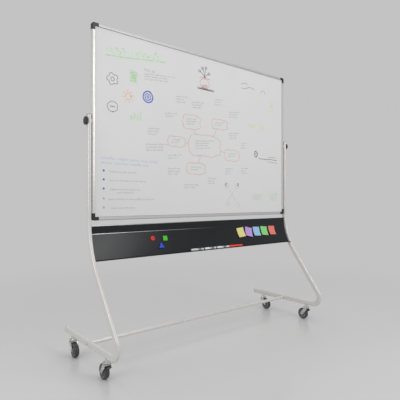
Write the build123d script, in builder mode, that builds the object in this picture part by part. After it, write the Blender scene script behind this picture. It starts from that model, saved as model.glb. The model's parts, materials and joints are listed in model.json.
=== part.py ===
from build123d import *

import os
from math import asin, cos, degrees, radians, sin, tan

# A rolling double-sided whiteboard. The board hangs between two bent flat-oval
# legs and flips about a horizontal axis at its mid height, where two hand knobs
# clamp it. Below it a curved steel panel with a pen shelf joins the legs, a
# round crossbar ties the feet together, and four braked swivel casters carry
# the stand.
#
# +X runs to the right as seen from the writing side, the front faces -Y, and
# +Z is up. The origin is on the floor, in the middle of the footprint. All
# lengths are millimetres.

os.makedirs("parts", exist_ok=True)

SIDES = (-1, 1)  # left and right

# ---- board -----------------------------------------------------------------
BOARD_W = 1800.0
BOARD_H = 1200.0
PIVOT_Z = 1480.0  # height of the axis that the board flips about
RAIL_W = 20.0  # width of the frame as seen from the front
RAIL_T = 22.0  # thickness of the frame, front to back
RAIL_ROUND = 7.0  # rounding of the frame's outer long edges
RAIL_LIP_ROUND = 1.2
RAIL_WEB_IN = 12.0  # the laminate stops this far inside the board's edge
SHEET_T = 0.5
CORE_T = 12.0
LAMINATE_T = CORE_T + 2 * SHEET_T
CELL = (8.4, 18.4, 3.9)  # hollow chamber of the frame: width, depth, rounding
CELL_AT = 6.0  # middle of the chamber, measured in from the outer edge
CAP_ARM = 44.0  # arm length of a corner cap
CAP_T = 24.0
CAP_CORNER = 15.0
CAP_EDGE = 4.0
TONGUE_L = 22.0
FIT_GAP = 0.1  # gap round a piece that slides into its neighbour

# ---- legs ------------------------------------------------------------------
LEG_X = 916.0  # middle plane of each leg
TUBE_D = 42.0  # flat-oval tube, front to back
TUBE_W = 22.0
TUBE_T = 1.8
LEG_TOP = 1520.0
LEAN = 37.0  # slope of the middle stretch, in degrees from vertical
CORNER_Z = 708.0  # where the upright's and the slope's middle lines would meet
BIG_R = 550.0  # middle-line radius of the upper bend
NOSE_R = 60.0  # middle-line radius of the bend into the foot
FOOT_Z = 144.0  # height of the foot's middle line
FOOT_LENGTH = 735.0
END_CAP_T = 3.0
PLUG_L = 15.0
PLUG_GAP = 0.15

# ---- pivot -----------------------------------------------------------------
STUD_R = 5.0
RUN_GAP = 0.06  # radial running clearance
STUD_END_X = 937.0
STUD_CHAMFER = 1.0
BLOCK_H = 60.0
BUSH_R = 7.5
FLANGE_R = 12.0
FLANGE_T = 2.0
SPACER_GAP = 0.3
WASHER_T = 1.5
KNOB_R = 26.0
KNOB_GAP = 0.4
KNOB_HUB_R = 13.0
KNOB_HUB_T = 2.0
KNOB_RIM_T = 10.5
KNOB_FLUTES = 8
KNOB_FLUTE_R = 6.0
KNOB_FLUTE_AT = 29.3
KNOB_EDGE = 2.0
INSERT_R = 8.0
INSERT_L = 9.5

# ---- crossbar --------------------------------------------------------------
BAR_R = 12.5
BAR_T = 1.5
BAR_PLUG_L = 30.0
BAR_BOLT_R = 4.0
BAR_BOLT_SHORT = 4.0  # the bolt ends this far before its plug does
BAR_BOLT_HEAD_R = 7.5
BAR_BOLT_HEAD_T = 4.4
BAR_BOLT_ROUND = 2.6
BAR_BOLT_SOCKET = (2.9, 2.5)  # hexagon socket: radius to the corners, depth
HOLE_GAP = 0.3

# ---- magnetic panel and pen shelf --------------------------------------------
PANEL_T = 1.2
PANEL_TOP = 849.0
CREASE_Z = 797.0  # below this the panel follows the bend of the legs
PANEL_FOOT_Z = 644.0
PANEL_END_GAP = 0.5
HEM_DEPTH = 9.0
BRACKET_T = 2.5
BRACKET_DEPTH = 13.0
BRACKET_FLANGE = 20.0
BRACKET_TOP_Z = CREASE_Z - 8
BRACKET_FOOT_Z = PANEL_FOOT_Z + 18
PANEL_SCREW_ANGLES = (12.0, 22.0)
PANEL_SCREW_R = 2.5
PANEL_SCREW_HEAD_R = 4.4
PANEL_SCREW_HEAD_T = 2.6
PANEL_SCREW_TIP = 4.0  # past the inside of the leg's wall
PANEL_SCREW_SOCKET = (1.8, 1.6)  # radius to the corners, depth
PANEL_SCREW_IN = 8.5  # distance of the screws behind the panel's front face
SHELF_T = 2.0
SHELF_DEPTH = 26.0  # from the panel's front face to the shelf's front edge
SHELF_LIP_H = 4.5
SHELF_LIP_T = 1.6
SHELF_LIP_ROUND = 0.6
SHELF_TAIL = 8.0  # the shelf runs on this far behind the panel's front face
SHELF_GRIP_H = 10.0
SHELF_GRIP_T = 2.0

# ---- casters ---------------------------------------------------------------
CASTER_Y = 238.0  # swivel axes, in front of and behind the board's plane
CASTER_TURN = 3.0  # how far the wheels are turned from straight ahead
TRAIL = 34.0
WHEEL_R = 44.0
TYRE_W = 30.0
RIM_R = 34.0
TYRE_ROUND = 8.0
HUB_R = 13.0
HUB_W = 35.0
WEB_T = 8.0
RIM_T = 4.0
RIM_W = 26.0
AXLE_R = 4.0
AXLE_HALF = 26.0
AXLE_HEAD_R = 6.5
FORK_IN = 18.5  # inner face of each fork leg
FORK_T = 2.5
CROWN_Z = 91.0
CROWN_T = 3.0
CROWN_HALF = 18.0
CROWN_CORNER = 5.0
FORK_ROOT = (28.0, 12.0)  # width and depth of a fork leg where it leaves the crown
FORK_TIP_R = 10.0
LOWER_CUP_TOP = 100.0
LOWER_CUP_R = 21.0
LOWER_CUP_TAPER = 12.0
UPPER_CUP_Z = 100.5
UPPER_CUP_TOP = 107.0
UPPER_CUP_R = 24.0
UPPER_CUP_TAPER = 14.0
COLLAR_R = 10.0
COLLAR_TOP = 126.0
STEM_R = 5.0
STEM_TOP = 153.0
STEM_NUT_R = 8.5
STEM_NUT_Z = 85.5
STEM_NUT_T = 5.1
SOCKET_R = 7.5
SOCKET_L = 25.0
PEDAL_PIVOT = (-7.5, 78.0)  # along the wheel and up, from the swivel axis
PEDAL_BOSS_R = 5.0
PEDAL_PIN_R = 2.5
PEDAL_HALF_W = 16.0
PEDAL_PROFILE = (  # along the wheel and up, from the pedal's pin
    (0.0, 5.0),
    (-10.0, 6.0),
    (-21.0, 3.0),
    (-23.0, 0.0),
    (-20.0, -1.0),
    (-10.0, 1.0),
    (-6.0, -2.0),
    (-5.0, -12.0),
    (-0.5, -12.5),
    (1.5, -5.0),
)

# ---- loose things kept on the stand ------------------------------------------
MAGNET_LIFT = 0.4  # a flat magnet bridges the panel's hollow curve
MAGNET_H = 8.5
MAGNET_ROUND = (-476.0, 748.0, 17.0)  # x, z, radius
MAGNET_SQUARE = (-378.0, 743.0, 33.0)  # x, z, side
MAGNET_TRIANGLE = (-418.0, 694.0, 26.0)  # x, z, radius to the corners
MAGNET_DOME = 6.0
MAGNET_CORNER = 3.0
MAGNET_EDGE = 2.0
NOTE_SIZE = 76.0
NOTE_T = 0.8
NOTE_Z = 746.0
NOTE_XS = (355.0, 443.0, 537.0, 629.0, 727.0)
NOTE_LIFT = 0.1
MARKERS = ((-188.0, 119.0), (-68.0, 119.0), (52.0, 119.0), (173.0, 143.0))  # x, length
MARKER_OUT = 13.5  # distance of the markers in front of the panel's lower edge
BARREL_R = 8.0
CAP_R = 9.0
CAP_L = 42.0
CAP_GRIP = 12.0
NECK_R = 5.0
NECK_L = 18.0
NIB_R = 2.5
NIB_L = 7.0
CAP_HOLLOW_R = 5.6
CAP_HOLLOW_L = 38.0

# ---- worked out from the above -----------------------------------------------
slope_cos = cos(radians(LEAN))
bend_run = BIG_R * tan(radians(LEAN / 2))
bend_z = CORNER_Z + bend_run  # height of the upper bend's centre
nose_z = FOOT_Z + NOSE_R
nose_back = NOSE_R / slope_cos - (CORNER_Z - nose_z) * tan(radians(LEAN))
nose_reach = NOSE_R + TUBE_D / 2 - nose_back  # front of the foot, from the board's plane
PLANE_Y = nose_reach - FOOT_LENGTH / 2  # the board's plane, behind the middle
bend_y = PLANE_Y - BIG_R  # the upper bend's centre
nose_y = PLANE_Y + nose_back
foot_end = FOOT_LENGTH / 2 - END_CAP_T
tube_top = LEG_TOP - END_CAP_T
leg_in = LEG_X - TUBE_W / 2
leg_out = LEG_X + TUBE_W / 2
board_low = PIVOT_Z - BOARD_H / 2
panel_half = leg_in - PANEL_END_GAP
crease_y = bend_y + BIG_R * cos(asin((bend_z - CREASE_Z) / BIG_R))
panel_foot_y = bend_y + BIG_R * cos(asin((bend_z - PANEL_FOOT_Z) / BIG_R))


# ---- helpers -----------------------------------------------------------------
def save(piece, label):
    """Name a finished sub-part and write its STEP file."""
    piece.part.label = label
    export_step(piece.part, f"parts/{label}.step")


def outward(side, x, y=PLANE_Y, z=PIVOT_Z):
    """Plane at distance x from the middle that faces away from it."""
    return Plane(origin=(side * x, y, z), x_dir=(0, 1, 0), z_dir=(side, 0, 0))


def bend_angle(z, radius=BIG_R):
    """Angle, in degrees below level, at which the bend passes height z."""
    return degrees(asin((bend_z - z) / radius))


def bend_point(angle, radius):
    """Point (y, z) of the bend at this angle below level and this radius."""
    a = radians(angle)
    return bend_y + radius * cos(a), bend_z - radius * sin(a)


def band(r_in, r_out, angle_from, angle_to):
    """Curved strip that follows the legs' upper bend, in a Y-Z sketch."""
    middle = (bend_y, bend_z)
    turn = angle_to - angle_from
    with BuildLine() as outline:
        inner = CenterArc(middle, r_in, -angle_from, -turn)
        outer = CenterArc(middle, r_out, -angle_from, -turn)
        Line(inner @ 0, outer @ 0)
        Line(inner @ 1, outer @ 1)
    make_face(outline.edges())


def panel_plane(x, z):
    """Plane that lies on the curved panel's front face and faces forward."""
    angle = bend_angle(z)
    y, height = bend_point(angle, BIG_R - MAGNET_LIFT)
    a = radians(angle)
    return Plane(origin=(x, y, height), x_dir=(1, 0, 0), z_dir=(0, -cos(a), sin(a)))


# ---- legs ---------------------------------------------------------------------
def tube_section(gap=0.0):
    SlotOverall(TUBE_D - 2 * gap, TUBE_W - 2 * gap)


def make_leg(side):
    x = side * LEG_X
    with BuildPart() as leg:
        with BuildLine(Plane.YZ.offset(x)) as route:
            upright = Line((PLANE_Y, tube_top), (PLANE_Y, bend_z))
            big = CenterArc((bend_y, bend_z), BIG_R, 0, -LEAN)
            nose = CenterArc((nose_y, nose_z), NOSE_R, 180 - LEAN, LEAN + 90)
            Line(big @ 1, nose @ 0)
            Line(nose @ 1, (foot_end, FOOT_Z))
        with BuildSketch(Plane(origin=(x, PLANE_Y, tube_top), x_dir=(0, 1, 0), z_dir=(0, 0, -1))):
            tube_section()
        sweep(path=route.wire())
        with BuildSketch(Plane(origin=(x, PLANE_Y, tube_top), x_dir=(0, 1, 0), z_dir=(0, 0, -1))):
            tube_section(TUBE_T)
        sweep(path=route.wire(), mode=Mode.SUBTRACT)
        # pivot hole through both walls
        with BuildSketch(outward(side, leg_in - 1)):
            Circle(BUSH_R)
        extrude(amount=TUBE_W + 2, mode=Mode.SUBTRACT)
        # crossbar bolt hole through both walls
        with BuildSketch(outward(side, leg_in - 1, z=FOOT_Z)):
            Circle(BAR_BOLT_R + HOLE_GAP)
        extrude(amount=TUBE_W + 2, mode=Mode.SUBTRACT)
        # panel screw holes in the inner wall
        for angle in PANEL_SCREW_ANGLES:
            y, z = bend_point(angle, BIG_R + PANEL_SCREW_IN)
            with BuildSketch(outward(side, leg_in - 1, y, z)):
                Circle(PANEL_SCREW_R + HOLE_GAP)
            extrude(amount=TUBE_T + 3, mode=Mode.SUBTRACT)
        # stem holes in the underside of the foot
        with BuildSketch(Plane.XY.offset(FOOT_Z - TUBE_D / 2 - 1)):
            with Locations((x, PLANE_Y - CASTER_Y), (x, PLANE_Y + CASTER_Y)):
                Circle(STEM_R + HOLE_GAP)
        extrude(amount=TUBE_W / 2, mode=Mode.SUBTRACT)
    return leg


save(make_leg(-1), "left_leg")
save(make_leg(1), "right_leg")

# Plastic plugs that close the tops of the uprights
with BuildPart() as leg_top_caps:
    for side in SIDES:
        with BuildSketch(Plane(origin=(side * LEG_X, PLANE_Y, tube_top), x_dir=(0, 1, 0))):
            tube_section()
        extrude(amount=END_CAP_T)
        with BuildSketch(Plane(origin=(side * LEG_X, PLANE_Y, tube_top), x_dir=(0, 1, 0))):
            tube_section(TUBE_T + PLUG_GAP)
        extrude(amount=-PLUG_L)
    fillet(leg_top_caps.edges().group_by(Axis.Z)[-1], END_CAP_T / 2)
save(leg_top_caps, "leg_top_caps")

# Plastic plugs that close the rear ends of the feet
with BuildPart() as foot_end_caps:
    for side in SIDES:
        end = Plane(origin=(side * LEG_X, foot_end, FOOT_Z), x_dir=(0, 0, 1), z_dir=(0, 1, 0))
        with BuildSketch(end):
            tube_section()
        extrude(amount=END_CAP_T)
        with BuildSketch(end):
            tube_section(TUBE_T + PLUG_GAP)
        extrude(amount=-PLUG_L)
    fillet(foot_end_caps.edges().group_by(Axis.Y)[-1], END_CAP_T / 2)
save(foot_end_caps, "foot_end_caps")

# ---- crossbar between the feet --------------------------------------------------
with BuildPart() as crossbar:
    with BuildSketch(outward(1, 0, z=FOOT_Z)):
        Circle(BAR_R)
        Circle(BAR_R - BAR_T, mode=Mode.SUBTRACT)
    extrude(amount=leg_in, both=True)
save(crossbar, "crossbar")

with BuildPart() as crossbar_plugs:
    for side in SIDES:
        with BuildSketch(outward(side, leg_in - BAR_PLUG_L, z=FOOT_Z)):
            Circle(BAR_R - BAR_T)
            Circle(BAR_BOLT_R, mode=Mode.SUBTRACT)
        extrude(amount=BAR_PLUG_L)
save(crossbar_plugs, "crossbar_plugs")

with BuildPart() as crossbar_bolts:
    for side in SIDES:
        bolt_in = leg_in - BAR_PLUG_L + BAR_BOLT_SHORT
        with BuildSketch(outward(side, bolt_in, z=FOOT_Z)):
            Circle(BAR_BOLT_R)
        extrude(amount=leg_out - bolt_in)
        with BuildSketch(outward(side, leg_out, z=FOOT_Z)):
            Circle(BAR_BOLT_HEAD_R)
        extrude(amount=BAR_BOLT_HEAD_T)
    for end in (0, -1):
        rim = crossbar_bolts.edges().filter_by(GeomType.CIRCLE).group_by(Axis.X)[end]
        fillet(rim, BAR_BOLT_ROUND)
    for side in SIDES:
        with BuildSketch(outward(side, leg_out + BAR_BOLT_HEAD_T, z=FOOT_Z)):
            RegularPolygon(BAR_BOLT_SOCKET[0], 6)
        extrude(amount=-BAR_BOLT_SOCKET[1], mode=Mode.SUBTRACT)
save(crossbar_bolts, "crossbar_bolts")

# ---- curved magnetic panel -------------------------------------------------------
with BuildPart() as magnet_panel:
    with BuildSketch(Plane.YZ):
        panel_back = BIG_R + PANEL_T
        band(BIG_R, panel_back, bend_angle(CREASE_Z), bend_angle(PANEL_FOOT_Z, panel_back))
        # flat strip above the crease
        with Locations((crease_y + PANEL_T / 2, (CREASE_Z + PANEL_TOP) / 2)):
            Rectangle(PANEL_T, PANEL_TOP - CREASE_Z)
        # hem folded back along the top edge
        with Locations((crease_y + HEM_DEPTH / 2, PANEL_TOP - PANEL_T / 2)):
            Rectangle(HEM_DEPTH, PANEL_T)
        with Locations((crease_y + HEM_DEPTH - PANEL_T / 2, PANEL_TOP - HEM_DEPTH / 2)):
            Rectangle(PANEL_T, HEM_DEPTH)
    extrude(amount=panel_half, both=True)
save(magnet_panel, "magnet_panel")

# Angle brackets: one plate screwed to the leg, one flange welded to the panel
with BuildPart() as panel_brackets:
    for side in SIDES:
        for reach, depth in ((BRACKET_T, BRACKET_DEPTH), (BRACKET_FLANGE, BRACKET_T)):
            with BuildSketch(Plane.YZ.offset(side * leg_in)):
                back = BIG_R + PANEL_T
                band(back, back + depth, bend_angle(BRACKET_TOP_Z), bend_angle(BRACKET_FOOT_Z))
            extrude(amount=-side * reach)
        for angle in PANEL_SCREW_ANGLES:
            y, z = bend_point(angle, BIG_R + PANEL_SCREW_IN)
            with BuildSketch(outward(side, leg_in - BRACKET_T, y, z)):
                Circle(PANEL_SCREW_R + HOLE_GAP)
            extrude(amount=BRACKET_T, mode=Mode.SUBTRACT)
save(panel_brackets, "panel_brackets")

with BuildPart() as panel_screws:
    for side in SIDES:
        for angle in PANEL_SCREW_ANGLES:
            y, z = bend_point(angle, BIG_R + PANEL_SCREW_IN)
            with BuildSketch(outward(side, leg_in - BRACKET_T - PANEL_SCREW_HEAD_T, y, z)):
                Circle(PANEL_SCREW_HEAD_R)
            extrude(amount=PANEL_SCREW_HEAD_T)
            with BuildSketch(outward(side, leg_in - BRACKET_T, y, z)):
                Circle(PANEL_SCREW_R)
            extrude(amount=BRACKET_T + TUBE_T + PANEL_SCREW_TIP)
            with BuildSketch(outward(side, leg_in - BRACKET_T - PANEL_SCREW_HEAD_T, y, z)):
                RegularPolygon(PANEL_SCREW_SOCKET[0], 6)
            extrude(amount=PANEL_SCREW_SOCKET[1], mode=Mode.SUBTRACT)
save(panel_screws, "panel_screws")

# Pen shelf: an extruded strip that grips the panel's lower edge from behind
with BuildPart() as pen_shelf:
    shelf_back_y = panel_foot_y + SHELF_TAIL
    shelf_front_y = panel_foot_y - SHELF_DEPTH
    with BuildSketch(Plane.YZ):
        with Locations(((shelf_front_y + shelf_back_y) / 2, PANEL_FOOT_Z - SHELF_T / 2)):
            Rectangle(shelf_back_y - shelf_front_y, SHELF_T)
        with Locations((shelf_front_y + SHELF_LIP_T / 2, PANEL_FOOT_Z - SHELF_T + SHELF_LIP_H / 2)):
            Rectangle(SHELF_LIP_T, SHELF_LIP_H)
        grip = BIG_R + PANEL_T
        band(
            grip,
            grip + SHELF_GRIP_T,
            bend_angle(PANEL_FOOT_Z + SHELF_GRIP_H),
            bend_angle(PANEL_FOOT_Z - SHELF_T / 2, grip),
        )
    extrude(amount=panel_half, both=True)
    lip_edges = pen_shelf.edges().filter_by(Axis.X).group_by(Axis.Y)[0]
    fillet(lip_edges, SHELF_LIP_ROUND)
save(pen_shelf, "pen_shelf")

# ---- board laminate ----------------------------------------------------------------
laminate_w = BOARD_W - 2 * RAIL_WEB_IN
laminate_h = BOARD_H - 2 * RAIL_WEB_IN


def make_layer(y_from, thickness):
    with BuildPart() as layer:
        with BuildSketch(Plane.XZ.offset(-y_from)):
            with Locations((0, PIVOT_Z)):
                Rectangle(laminate_w, laminate_h)
        extrude(amount=-thickness)
    return layer


laminate_front = PLANE_Y - LAMINATE_T / 2
save(make_layer(laminate_front, SHEET_T), "front_writing_sheet")
save(make_layer(laminate_front + SHEET_T, CORE_T), "board_core")
save(make_layer(laminate_front + SHEET_T + CORE_T, SHEET_T), "back_writing_sheet")


# ---- board frame ---------------------------------------------------------------------
def rail_section():
    """Frame profile: local X runs inward from the board's edge."""
    with BuildSketch(mode=Mode.PRIVATE) as outline:
        with Locations((RAIL_W / 2, 0)):
            Rectangle(RAIL_W, RAIL_T)
        fillet(outline.vertices().group_by(Axis.X)[0], RAIL_ROUND)
        fillet(outline.vertices().group_by(Axis.X)[-1], RAIL_LIP_ROUND)
    add(outline.sketch)
    with Locations(((RAIL_WEB_IN + RAIL_W) / 2, 0)):
        Rectangle(RAIL_W - RAIL_WEB_IN, LAMINATE_T, mode=Mode.SUBTRACT)
    with Locations((CELL_AT, 0)):
        RectangleRounded(*CELL, mode=Mode.SUBTRACT)


def make_rail(corner, inward, along, length):
    with BuildPart() as rail:
        with BuildSketch(Plane(origin=corner, x_dir=inward, z_dir=along)):
            rail_section()
        extrude(amount=length)
    return rail


board_top = board_low + BOARD_H
half_w = BOARD_W / 2
cross_length = BOARD_W - 2 * CAP_ARM
side_length = BOARD_H - 2 * CAP_ARM
cross_start = -half_w + CAP_ARM
side_start = board_low + CAP_ARM
save(make_rail((cross_start, PLANE_Y, board_top), (0, 0, -1), (1, 0, 0), cross_length), "top_rail")
save(make_rail((cross_start, PLANE_Y, board_low), (0, 0, 1), (1, 0, 0), cross_length), "bottom_rail")
for side, label in ((-1, "left_rail"), (1, "right_rail")):
    rail = make_rail((side * half_w, PLANE_Y, side_start), (-side, 0, 0), (0, 0, 1), side_length)
    with BuildPart() as drilled_rail:
        add(rail.part)
        with BuildSketch(outward(side, half_w - CELL_AT)):
            Circle(STUD_R + HOLE_GAP)
        extrude(amount=CELL_AT, mode=Mode.SUBTRACT)
    save(drilled_rail, label)

# Plastic corner caps whose tongues slide into the rails' chambers
with BuildPart() as corner_caps:
    corner = Plane(origin=(half_w, PLANE_Y, board_top), x_dir=(-1, 0, 0), z_dir=(0, -1, 0))
    with BuildSketch(corner):
        with Locations((CAP_ARM / 2, CAP_ARM / 2)):
            Rectangle(CAP_ARM, CAP_ARM)
    extrude(amount=CAP_T / 2, both=True)
    outer_edge = corner_caps.edges().filter_by(Axis.Y).sort_by(Axis.X)[-2:].sort_by(Axis.Z)[-1]
    fillet(outer_edge, CAP_CORNER)
    rims = corner_caps.edges().filter_by(Axis.Y, reverse=True)
    right = rims.filter_by(lambda e: e.center().X > half_w - CAP_CORNER)
    top = rims.filter_by(lambda e: e.center().Z > board_top - CAP_CORNER)
    fillet(set(right + top), CAP_EDGE)
    with BuildSketch(corner):
        with Locations(((CAP_ARM + RAIL_W) / 2, (CAP_ARM + RAIL_W) / 2)):
            Rectangle(CAP_ARM - RAIL_W, CAP_ARM - RAIL_W)
    extrude(amount=CAP_T, both=True, mode=Mode.SUBTRACT)
    with BuildSketch(corner):
        with Locations(((CAP_ARM + RAIL_WEB_IN) / 2, (CAP_ARM + RAIL_WEB_IN) / 2)):
            Rectangle(CAP_ARM - RAIL_WEB_IN, CAP_ARM - RAIL_WEB_IN)
    extrude(amount=LAMINATE_T / 2, both=True, mode=Mode.SUBTRACT)
    tongue = (CELL[0] - 2 * FIT_GAP, CELL[1] - 2 * FIT_GAP, CELL[2] - FIT_GAP)
    tongue_roots = (
        Plane(
            origin=(half_w - CAP_ARM, PLANE_Y, board_top - CELL_AT), x_dir=(0, 0, 1), z_dir=(-1, 0, 0)
        ),
        Plane(
            origin=(half_w - CELL_AT, PLANE_Y, board_top - CAP_ARM), x_dir=(1, 0, 0), z_dir=(0, 0, -1)
        ),
    )
    for root in tongue_roots:
        with BuildSketch(root):
            RectangleRounded(*tongue)
        extrude(amount=TONGUE_L)
    mirror(about=Plane.YZ)
    mirror(about=Plane.XY.offset(PIVOT_Z))
save(corner_caps, "corner_caps")

# ---- pivot ------------------------------------------------------------------------------
# Threaded steel blocks inside the side rails
with BuildPart() as pivot_blocks:
    for side in SIDES:
        middle = Plane(origin=(side * (half_w - CELL_AT), PLANE_Y, PIVOT_Z - BLOCK_H / 2))
        with BuildSketch(middle):
            RectangleRounded(*tongue)
        extrude(amount=BLOCK_H)
        with BuildSketch(outward(side, half_w - RAIL_WEB_IN)):
            Circle(STUD_R)
        extrude(amount=RAIL_WEB_IN, mode=Mode.SUBTRACT)
save(pivot_blocks, "pivot_blocks")

block_in = half_w - CELL_AT - tongue[0] / 2
with BuildPart() as pivot_studs:
    for side in SIDES:
        with BuildSketch(outward(side, block_in)):
            Circle(STUD_R)
        extrude(amount=STUD_END_X - block_in)
    for end in (0, -1):
        chamfer(pivot_studs.edges().filter_by(GeomType.CIRCLE).group_by(Axis.X)[end], STUD_CHAMFER)
save(pivot_studs, "pivot_studs")

# Nylon spacers fixed to the board, opposite the bushes' flanges
flange_in = leg_in - FLANGE_T
with BuildPart() as board_spacers:
    for side in SIDES:
        with BuildSketch(outward(side, half_w)):
            Circle(FLANGE_R)
            Circle(STUD_R + HOLE_GAP, mode=Mode.SUBTRACT)
        extrude(amount=flange_in - SPACER_GAP - half_w)
save(board_spacers, "board_spacers")

with BuildPart() as pivot_bushes:
    for side in SIDES:
        with BuildSketch(outward(side, flange_in)):
            Circle(FLANGE_R)
        extrude(amount=FLANGE_T)
        with BuildSketch(outward(side, leg_in)):
            Circle(BUSH_R)
        extrude(amount=TUBE_W)
        with BuildSketch(outward(side, flange_in)):
            Circle(STUD_R + RUN_GAP)
        extrude(amount=TUBE_W + FLANGE_T, mode=Mode.SUBTRACT)
save(pivot_bushes, "pivot_bushes")

with BuildPart() as pivot_washers:
    for side in SIDES:
        with BuildSketch(outward(side, leg_out)):
            Circle(FLANGE_R)
            Circle(STUD_R + HOLE_GAP, mode=Mode.SUBTRACT)
        extrude(amount=WASHER_T)
save(pivot_washers, "pivot_washers")

knob_in = leg_out + WASHER_T + KNOB_GAP


def make_knob(side):
    """Fluted hand knob with a blind hole for its threaded insert."""
    with BuildPart() as knob:
        with BuildSketch(outward(side, knob_in + KNOB_HUB_T)):
            Circle(KNOB_R)
            with PolarLocations(KNOB_FLUTE_AT, KNOB_FLUTES):
                Circle(KNOB_FLUTE_R, mode=Mode.SUBTRACT)
        extrude(amount=KNOB_RIM_T)
        faces = knob.faces().filter_by(Axis.X)
        fillet(faces.edges(), KNOB_EDGE)
        with BuildSketch(outward(side, knob_in)):
            Circle(KNOB_HUB_R)
        extrude(amount=KNOB_HUB_T + KNOB_EDGE)
        with BuildSketch(outward(side, knob_in)):
            Circle(INSERT_R)
        extrude(amount=INSERT_L, mode=Mode.SUBTRACT)
    return knob


def make_knob_insert(side):
    with BuildPart() as insert:
        with BuildSketch(outward(side, knob_in)):
            Circle(INSERT_R)
            Circle(STUD_R + RUN_GAP, mode=Mode.SUBTRACT)
        extrude(amount=INSERT_L)
    return insert


for side, word in ((-1, "left"), (1, "right")):
    save(make_knob(side), f"{word}_knob")
    save(make_knob_insert(side), f"{word}_knob_insert")


# ---- casters ---------------------------------------------------------------------------
# Each caster has its own frame at the floor: local Y points from the swivel
# axis towards the wheel, local X lies along the axle. The front wheels trail
# backwards and the rear wheels trail forwards.
casters = {}
for end_word, end_sign, turn in (("front", -1, -CASTER_TURN), ("rear", 1, 180 - CASTER_TURN)):
    for side, side_word in ((-1, "left"), (1, "right")):
        casters[f"{end_word}_{side_word}"] = Plane(
            origin=(side * LEG_X, PLANE_Y + end_sign * CASTER_Y, 0),
            x_dir=(cos(radians(turn)), sin(radians(turn)), 0),
        )


def across(caster, x, y, z):
    """Plane square to a caster's axle at local point x, y, z."""
    spot = caster.from_local_coords(Vector(x, y, z))
    return Plane(origin=spot, x_dir=caster.y_dir, z_dir=caster.x_dir)


def make_fork(caster):
    """Pressed fork: crown, lower ball cup and two legs with axle holes."""
    fork_out = FORK_IN + FORK_T
    with BuildPart() as fork:
        with BuildSketch(caster.offset(CROWN_Z)):
            RectangleRounded(2 * fork_out, 2 * CROWN_HALF, CROWN_CORNER)
        extrude(amount=CROWN_T)
        with BuildSketch(caster.offset(CROWN_Z + CROWN_T)):
            Circle(LOWER_CUP_R)
        extrude(amount=LOWER_CUP_TOP - CROWN_Z - CROWN_T, taper=LOWER_CUP_TAPER)
        for x in (-fork_out, FORK_IN):
            with BuildSketch(across(caster, x, 0, 0)):
                with BuildSketch(mode=Mode.PRIVATE) as blank:
                    with Locations((0, CROWN_Z - FORK_ROOT[1] / 2)):
                        Rectangle(*FORK_ROOT)
                    with Locations((TRAIL, WHEEL_R)):
                        Circle(FORK_TIP_R)
                make_hull(blank.edges())
                with Locations((TRAIL, WHEEL_R)):
                    Circle(AXLE_R, mode=Mode.SUBTRACT)
                with Locations(PEDAL_PIVOT):
                    Circle(PEDAL_PIN_R + RUN_GAP, mode=Mode.SUBTRACT)
            extrude(amount=FORK_T)
        with BuildSketch(caster.offset(CROWN_Z)):
            Circle(STEM_R + RUN_GAP)
        extrude(amount=LOWER_CUP_TOP - CROWN_Z, mode=Mode.SUBTRACT)
    return fork


def make_axle(caster):
    """Axle bolt with a hexagon head and nut outside the fork."""
    with BuildPart() as axle:
        with BuildSketch(across(caster, -AXLE_HALF, TRAIL, WHEEL_R)):
            Circle(AXLE_R)
        extrude(amount=2 * AXLE_HALF)
        fork_out = FORK_IN + FORK_T
        for x in (-AXLE_HALF, fork_out):
            with BuildSketch(across(caster, x, TRAIL, WHEEL_R)):
                RegularPolygon(AXLE_HEAD_R, 6)
            extrude(amount=AXLE_HALF - fork_out)
    return axle


def make_wheel_core(caster):
    """Moulded wheel centre: hub, web and rim with the axle's running bore."""
    with BuildPart() as core:
        for radius, width in ((HUB_R, HUB_W), (RIM_R - RIM_T / 2, WEB_T)):
            with BuildSketch(across(caster, -width / 2, TRAIL, WHEEL_R)):
                Circle(radius)
            extrude(amount=width)
        with BuildSketch(across(caster, -RIM_W / 2, TRAIL, WHEEL_R)):
            Circle(RIM_R)
            Circle(RIM_R - RIM_T, mode=Mode.SUBTRACT)
        extrude(amount=RIM_W)
        with BuildSketch(across(caster, -HUB_W / 2, TRAIL, WHEEL_R)):
            Circle(AXLE_R + RUN_GAP)
        extrude(amount=HUB_W, mode=Mode.SUBTRACT)
    return core


def make_tyre(caster):
    with BuildPart() as tyre:
        with BuildSketch(across(caster, -TYRE_W / 2, TRAIL, WHEEL_R)):
            Circle(WHEEL_R)
        extrude(amount=TYRE_W)
        fillet(tyre.edges().filter_by(GeomType.CIRCLE), TYRE_ROUND)
        with BuildSketch(across(caster, -TYRE_W / 2, TRAIL, WHEEL_R)):
            Circle(RIM_R)
        extrude(amount=TYRE_W, mode=Mode.SUBTRACT)
    return tyre


def make_pedal(caster):
    """Brake pedal: a tread plate in front, a boss on a pin, and a shoe."""
    y, z = PEDAL_PIVOT
    with BuildPart() as pedal:
        with BuildSketch(across(caster, -PEDAL_HALF_W, 0, 0)):
            with BuildLine():
                Polyline([(y + along, z + up) for along, up in PEDAL_PROFILE], close=True)
            make_face()
            with Locations(PEDAL_PIVOT):
                Circle(PEDAL_BOSS_R)
        extrude(amount=2 * PEDAL_HALF_W)
        with BuildSketch(across(caster, -FORK_IN - FORK_T, y, z)):
            Circle(PEDAL_PIN_R)
        extrude(amount=2 * (FORK_IN + FORK_T))
    return pedal


for word, caster in casters.items():
    save(make_fork(caster), f"{word}_fork")
    save(make_axle(caster), f"{word}_axle")
    save(make_wheel_core(caster), f"{word}_wheel_core")
    save(make_tyre(caster), f"{word}_tyre")
    save(make_pedal(caster), f"{word}_brake_pedal")

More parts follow.
